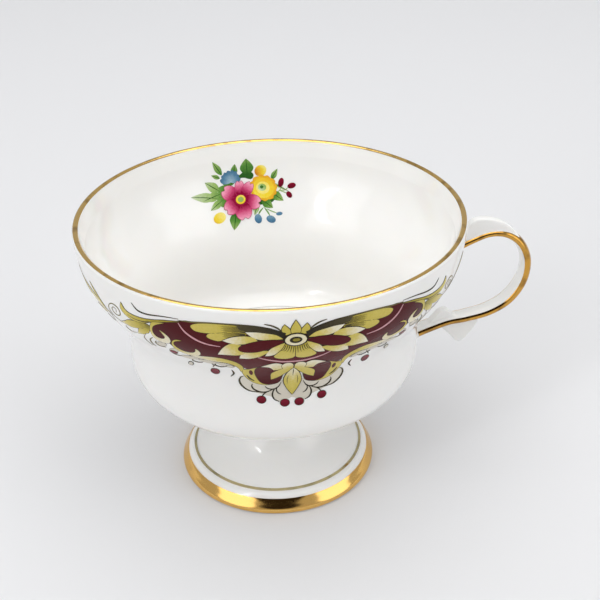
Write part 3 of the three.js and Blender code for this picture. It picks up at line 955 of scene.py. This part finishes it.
def posy():
    """The bunch of flowers on the far side of the bowl's inside."""
    picture = Picture("leaf", "blue", "rose", "yellow", "berry")
    leaves = [
        ((-1.5, 4.6), (-1.6, 9.2), 3.8, 0.0, 0.55),
        ((-5.3, 4.8), (-4.8, 8.0), 1.9, 0.1, 0.6),
        ((-8.6, 5.4), (-11.0, 9.4), 1.8, 0.3, 0.7),
        ((-9.2, 4.6), (-11.6, 5.8), 1.2, 0.3, 0.8),
        ((-9.6, 1.2), (-13.6, 4.2), 2.6, 0.5, 0.9),
        ((-10.4, -0.6), (-18.0, 1.2), 2.6, 0.6, 1.0),
        ((-9.4, 0.4), (-14.2, -0.6), 2.6, 0.4, 0.9),
        ((-9.0, -1.4), (-12.6, -3.6), 2.2, 0.4, 0.9),
        ((-5.4, -5.0), (-6.4, -10.0), 3.2, 0.0, 0.7),
        ((5.0, 3.0), (6.9, 6.0), 1.5, 0.2, 0.8),
        ((4.6, -0.4), (7.9, -2.8), 2.6, 0.1, 0.7),
        ((2.0, -2.4), (4.8, -4.8), 2.6, 0.1, 0.6),
        ((0.6, -3.6), (-0.4, -6.6), 1.6, 0.6, 0.9),
        ((4.2, 2.6), (9.6, -0.2), 0.8, 0.6, 0.9),
    ]
    shadows = [
        [
            (-8.8, 3.6), (-7.0, 1.8), (-3.2, 4.0), (-0.6, 3.4),
            (0.2, 4.8), (-1.8, 6.0), (-4.0, 4.6), (-6.8, 3.6),
        ],
        [(-9.8, 2.2), (-7.8, 2.4), (-7.4, -0.4), (-8.6, -3.4), (-10.4, -1.8), (-10.2, 0.6)],
        [(0.4, -1.2), (3.4, -3.6), (5.6, -2.4), (6.2, -0.6), (3.8, -2.6), (1.4, -3.8)],
    ]
    for line in shadows:
        picture.lay("leaf", 0.6, smooth(line, steps=3), ((-10, 0, 0.45), (-4, 0, 0.0)))
    for base, tip, width, dark, pale in leaves:
        picture.lay("leaf", 1, leaf_outline(base, tip, width), ((*base, dark), (*tip, pale)))
        middle = [(b + t) / 2 for b, t in zip(base, tip)]
        picture.lay("leaf", 1.5, stroke([base, middle, tip], 0.22), 0)
    for tip, width in (((-9.0, 4.6), 2.6), ((-7.4, 6.2), 2.6), ((-5.0, 6.2), 2.4), ((-3.6, 4.4), 2.4)):
        picture.lay("blue", 2, petal_outline((-6.2, 3.4), tip, width, 0.1), ((-6.2, 3.4, 0.9), (*tip, 0.3)))
    for bud in ((0.5, -7.6, 1.0, 1.3, 10), (4.0, -7.9, 1.3, 1.0, -20), (6.4, -6.4, 0.9, 0.5, 10)):
        shaded_oval(picture, "blue", 2, bud, 0.3, 0.7)
    for line, width, tone in (
        ([(2.2, -4.6), (1.2, -5.6), (0.6, -6.6)], 0.4, 0.4),
        ([(2.4, -4.6), (3.2, -5.8), (3.8, -7.0)], 0.4, 0.4),
        ([(3.0, -5.0), (4.6, -5.8), (5.8, -6.2)], 0.3, 0.5),
    ):
        picture.lay("leaf", 1, stroke(line, width), tone)
    picture.lay("yellow", 2, oval(2.2, 5.6, 1.7, 1.5, 30), ((1.0, 5.0, 0.1), (3, 6, 0.9)))
    picture.lay("yellow", 2, oval(-10.2, -6.0, 1.8, 1.5, 10), ((-11.6, -7, 0.5), (-9.4, -5.6, 0.95)))
    for i in range(6):
        angle = math.radians(60 * i + 20)
        tip = (2.6 + 3.9 * math.cos(angle), 0.8 + 3.6 * math.sin(angle))
        petal = petal_outline((2.6, 0.8), tip, 3.9, 0.08)
        picture.lay("yellow", 3 + 0.2 * i, petal, ((2.6, 0.8, 0.85), (*tip, 0.3)))
    picture.lay("yellow", 4.6, oval(2.6, 0.8, 3.0, 2.8), ((0, -2, 0.75), (3, 4, 0.5)))
    picture.lay("yellow", 5.0, oval(2.5, 0.9, 1.9, 1.7), ((2.5, -1, 0.95), (2.5, 3, 0.8)))
    picture.lay("leaf", 5.4, oval(2.3, 1.0, 1.15, 1.0), ((1.4, 0.2, 1.0), (3.2, 2.0, 0.5)))
    picture.lay("leaf", 5.8, oval(2.2, 1.1, 0.5, 0.45), 0.1)
    centre = (-3.9, -1.9)
    petals = [
        ((-8.6, 1.4), 4.0), ((-3.9, 3.2), 2.6), ((-0.6, 2.4), 2.8),
        ((1.4, -3.4), 4.0), ((-3.0, -7.4), 4.4), ((-8.2, -4.6), 4.2),
    ]
    for i, (tip, width) in enumerate(petals):
        petal = petal_outline(centre, tip, width, 0.1)
        picture.lay("rose", 5 + 0.3 * i, grown(petal, 0.12), 0.2)
        picture.lay("rose", 5.15 + 0.3 * i, petal, ((*centre, -0.5), (*tip, 0.95)))
    picture.lay("rose", 7.2, oval(*centre, 1.9, 1.8), 0.0)
    picture.lay("yellow", 7.8, oval(*centre, 1.35, 1.25), ((-3.9, -3.0, 0.55), (-3.9, -0.6, 0.8)))
    picture.lay("leaf", 8.4, oval(*centre, 0.85, 0.75), 0.62)
    for berry in ((7.6, 2.2, 0.75, 1.35, -20), (10.5, 1.4, 1.25, 0.75, 20), (9.6, -1.1, 0.75, 0.95, 30)):
        shaded_oval(picture, "berry", 2, berry, 0.0, 1.0)
    for line in (
        [(6.0, -0.6), (7.2, 0.2), (7.5, 1.2)],
        [(7.0, 0.0), (8.6, 0.2), (9.6, 1.0)],
        [(7.0, 0.0), (8.2, -0.4), (9.0, -0.8)],
    ):
        picture.lay("leaf", 1, stroke(line, 0.25), 0.6)
    picture.cut()
    picture.fire(Wall(INSIDE, 58.6, 90.5, -1), "posy", "posy_transfer")


bowl()
pedestal_foot()
foot_slip()
handle()
handle_gold()
handle_joint(
    "handle_upper_slip_seam",
    [(46.4, 58.8, 3.3), (45.4, 58.45, 4.4), (44.6, 58.2, 5.0), (43.4, 57.8, 6.6)],
    "handle_upper_slip_joint",
)
handle_joint(
    "handle_lower_slip_seam",
    [(37.6, 35.3, 4.0), (36.8, 35.0, 5.0), (36.0, 34.75, 5.7), (34.6, 34.2, 7.0)],
    "handle_lower_slip_joint",
)
edge_gold()
cartouche()
sprays()
posy()

# ------------------------ stage, light and camera

CAMERA_DISTANCE = 224.5  # from the cup's axis, in mm, level with the ground
CAMERA_HEIGHT = 178.6
CAMERA_TURN = -5.5  # degrees round the cup, from straight in front
CAMERA_PITCH = 30.34  # degrees below level
CAMERA_PAN = 1.70
CAMERA_ROLL = -1.06

# Patches of the tent: degrees round from the front, degrees above level, and reach in degrees.
GAP = (CAMERA_TURN, 36.7, 28.4)
LEFT_PANEL = (-56, 22, 24)
RIGHT_PANEL = (60, 20, 24)
UMBRELLA = (-58, 40, 12)
UMBRELLA_DARK = (-66, 40, 14)  # laid over the umbrella, so that only a crescent of it is left
TENT_STRENGTH = 0.56
PANEL_STRENGTH = 1.4
UMBRELLA_STRENGTH = 11.0
BACKDROP_STRENGTH = 0.85


def camera():
    """A long lens that looks down on the cup from in front, a little to the left."""
    data = bpy.data.cameras.new("camera")
    data.lens = 63
    data.sensor_width = 36
    data.clip_start = 0.01
    eye = bpy.data.objects.new("camera", data)
    around = math.radians(CAMERA_TURN)
    place = Vector((math.sin(around), -math.cos(around), 0)) * CAMERA_DISTANCE
    aim = (
        Matrix.Rotation(around - math.radians(CAMERA_PAN), 4, "Z")
        @ Matrix.Rotation(math.radians(90 - CAMERA_PITCH), 4, "X")
        @ Matrix.Rotation(math.radians(CAMERA_ROLL), 4, "Z")
    )
    eye.matrix_world = Matrix.Translation((place + Vector((AXIS_X, 0, CAMERA_HEIGHT))) * MM) @ aim
    bpy.context.scene.collection.objects.link(eye)
    bpy.context.scene.camera = eye


def floor():
    """A sweep of seamless paper, far wider than the cup."""
    bm = bmesh.new()
    bmesh.ops.create_grid(bm, x_segments=1, y_segments=1, size=3)
    mesh = bpy.data.meshes.new("studio_floor")
    bm.to_mesh(mesh)
    bm.free()
    ground = bpy.data.objects.new("studio_floor", mesh)
    bpy.context.scene.collection.objects.link(ground)
    material, tree, shader = shaded("seamless_paper", Roughness=0.9)
    shader.inputs["Base Color"].default_value = colour("#e3e3e4")
    mesh.materials.append(material)


def towards(around, above):
    """A way out from the cup, in degrees round from the front towards the handle and degrees above level."""
    around, above = math.radians(around), math.radians(above)
    level = math.cos(above)
    return Vector((math.sin(around) * level, -math.cos(around) * level, math.sin(above)))


def softbox(name, around, above, size, power):
    """A square lamp a metre from the cup, facing it: size is in metres and power in watts."""
    data = bpy.data.lights.new(name, "AREA")
    data.shape = "SQUARE"
    data.size = size
    data.energy = power
    way = towards(around, above)
    lamp = bpy.data.objects.new(name, data)
    lamp.location = way + Vector((AXIS_X, 0, LIP_HEIGHT / 2)) * MM
    lamp.rotation_mode = "QUATERNION"
    lamp.rotation_quaternion = way.to_track_quat("Z", "Y")
    bpy.context.scene.collection.objects.link(lamp)


def glow(tree, way, around, above, reach):
    """A soft round patch of the tent: 1 at its middle, fading to 0 at reach degrees from it."""
    middle = towards(around, above)
    facing = add(tree, "ShaderNodeVectorMath", {"operation": "DOT_PRODUCT", 1: middle}, {0: way})
    edges = {1: math.cos(math.radians(reach)), 2: math.cos(math.radians(reach * 0.8)), 3: 0.0, 4: 1.0}
    soft = add(
        tree,
        "ShaderNodeMapRange",
        {"interpolation_type": "SMOOTHSTEP", **edges},
        {0: facing.outputs["Value"]},
    )
    return soft.outputs[0]


def studio():
    """A white tent with a dim gap in front, a lit panel each side of it, and a crescent of a lit umbrella.

    The camera itself sees only a plain pale backdrop behind the floor.
    """
    world = bpy.data.worlds.new("studio")
    bpy.context.scene.world = world
    world.use_nodes = True
    tree = world.node_tree
    background = tree.nodes["Background"]
    way = add(tree, "ShaderNodeTexCoord").outputs["Generated"]
    gap, left, right, umbrella, dark = (
        glow(tree, way, *patch) for patch in (GAP, LEFT_PANEL, RIGHT_PANEL, UMBRELLA, UMBRELLA_DARK)
    )
    tent = add(
        tree,
        "ShaderNodeMix",
        {"data_type": "RGBA", 6: colour("#f3f4f6"), 7: colour("#3a322b")},
        {0: gap},
    )
    panels = add(tree, "ShaderNodeMath", {"operation": "ADD"}, {0: left, 1: right})
    lit = add(
        tree,
        "ShaderNodeMath",
        {"operation": "MULTIPLY_ADD", 1: PANEL_STRENGTH, 2: TENT_STRENGTH},
        {0: panels.outputs[0]},
    )
    rest = add(tree, "ShaderNodeMath", {"operation": "SUBTRACT", 0: 1.0}, {1: dark})
    crescent = add(tree, "ShaderNodeMath", {"operation": "MULTIPLY"}, {0: umbrella, 1: rest.outputs[0]})
    total = add(
        tree,
        "ShaderNodeMath",
        {"operation": "MULTIPLY_ADD", 1: UMBRELLA_STRENGTH},
        {0: crescent.outputs[0], 2: lit.outputs[0]},
    )
    tree.links.new(tent.outputs[2], background.inputs["Color"])
    tree.links.new(total.outputs[0], background.inputs["Strength"])
    backdrop = add(tree, "ShaderNodeBackground", {"Color": colour("#eeeeef"), "Strength": BACKDROP_STRENGTH})
    seen = add(tree, "ShaderNodeLightPath").outputs["Is Camera Ray"]
    shown = add(tree, "ShaderNodeMixShader", {}, {0: seen, 1: background.outputs[0], 2: backdrop.outputs[0]})
    tree.links.new(shown.outputs[0], tree.nodes["World Output"].inputs["Surface"])
    softbox("overhead_softbox", around=0, above=84, size=1.2, power=7.5)


camera()
floor()
studio()
bpy.context.scene.view_settings.view_transform = "Standard"
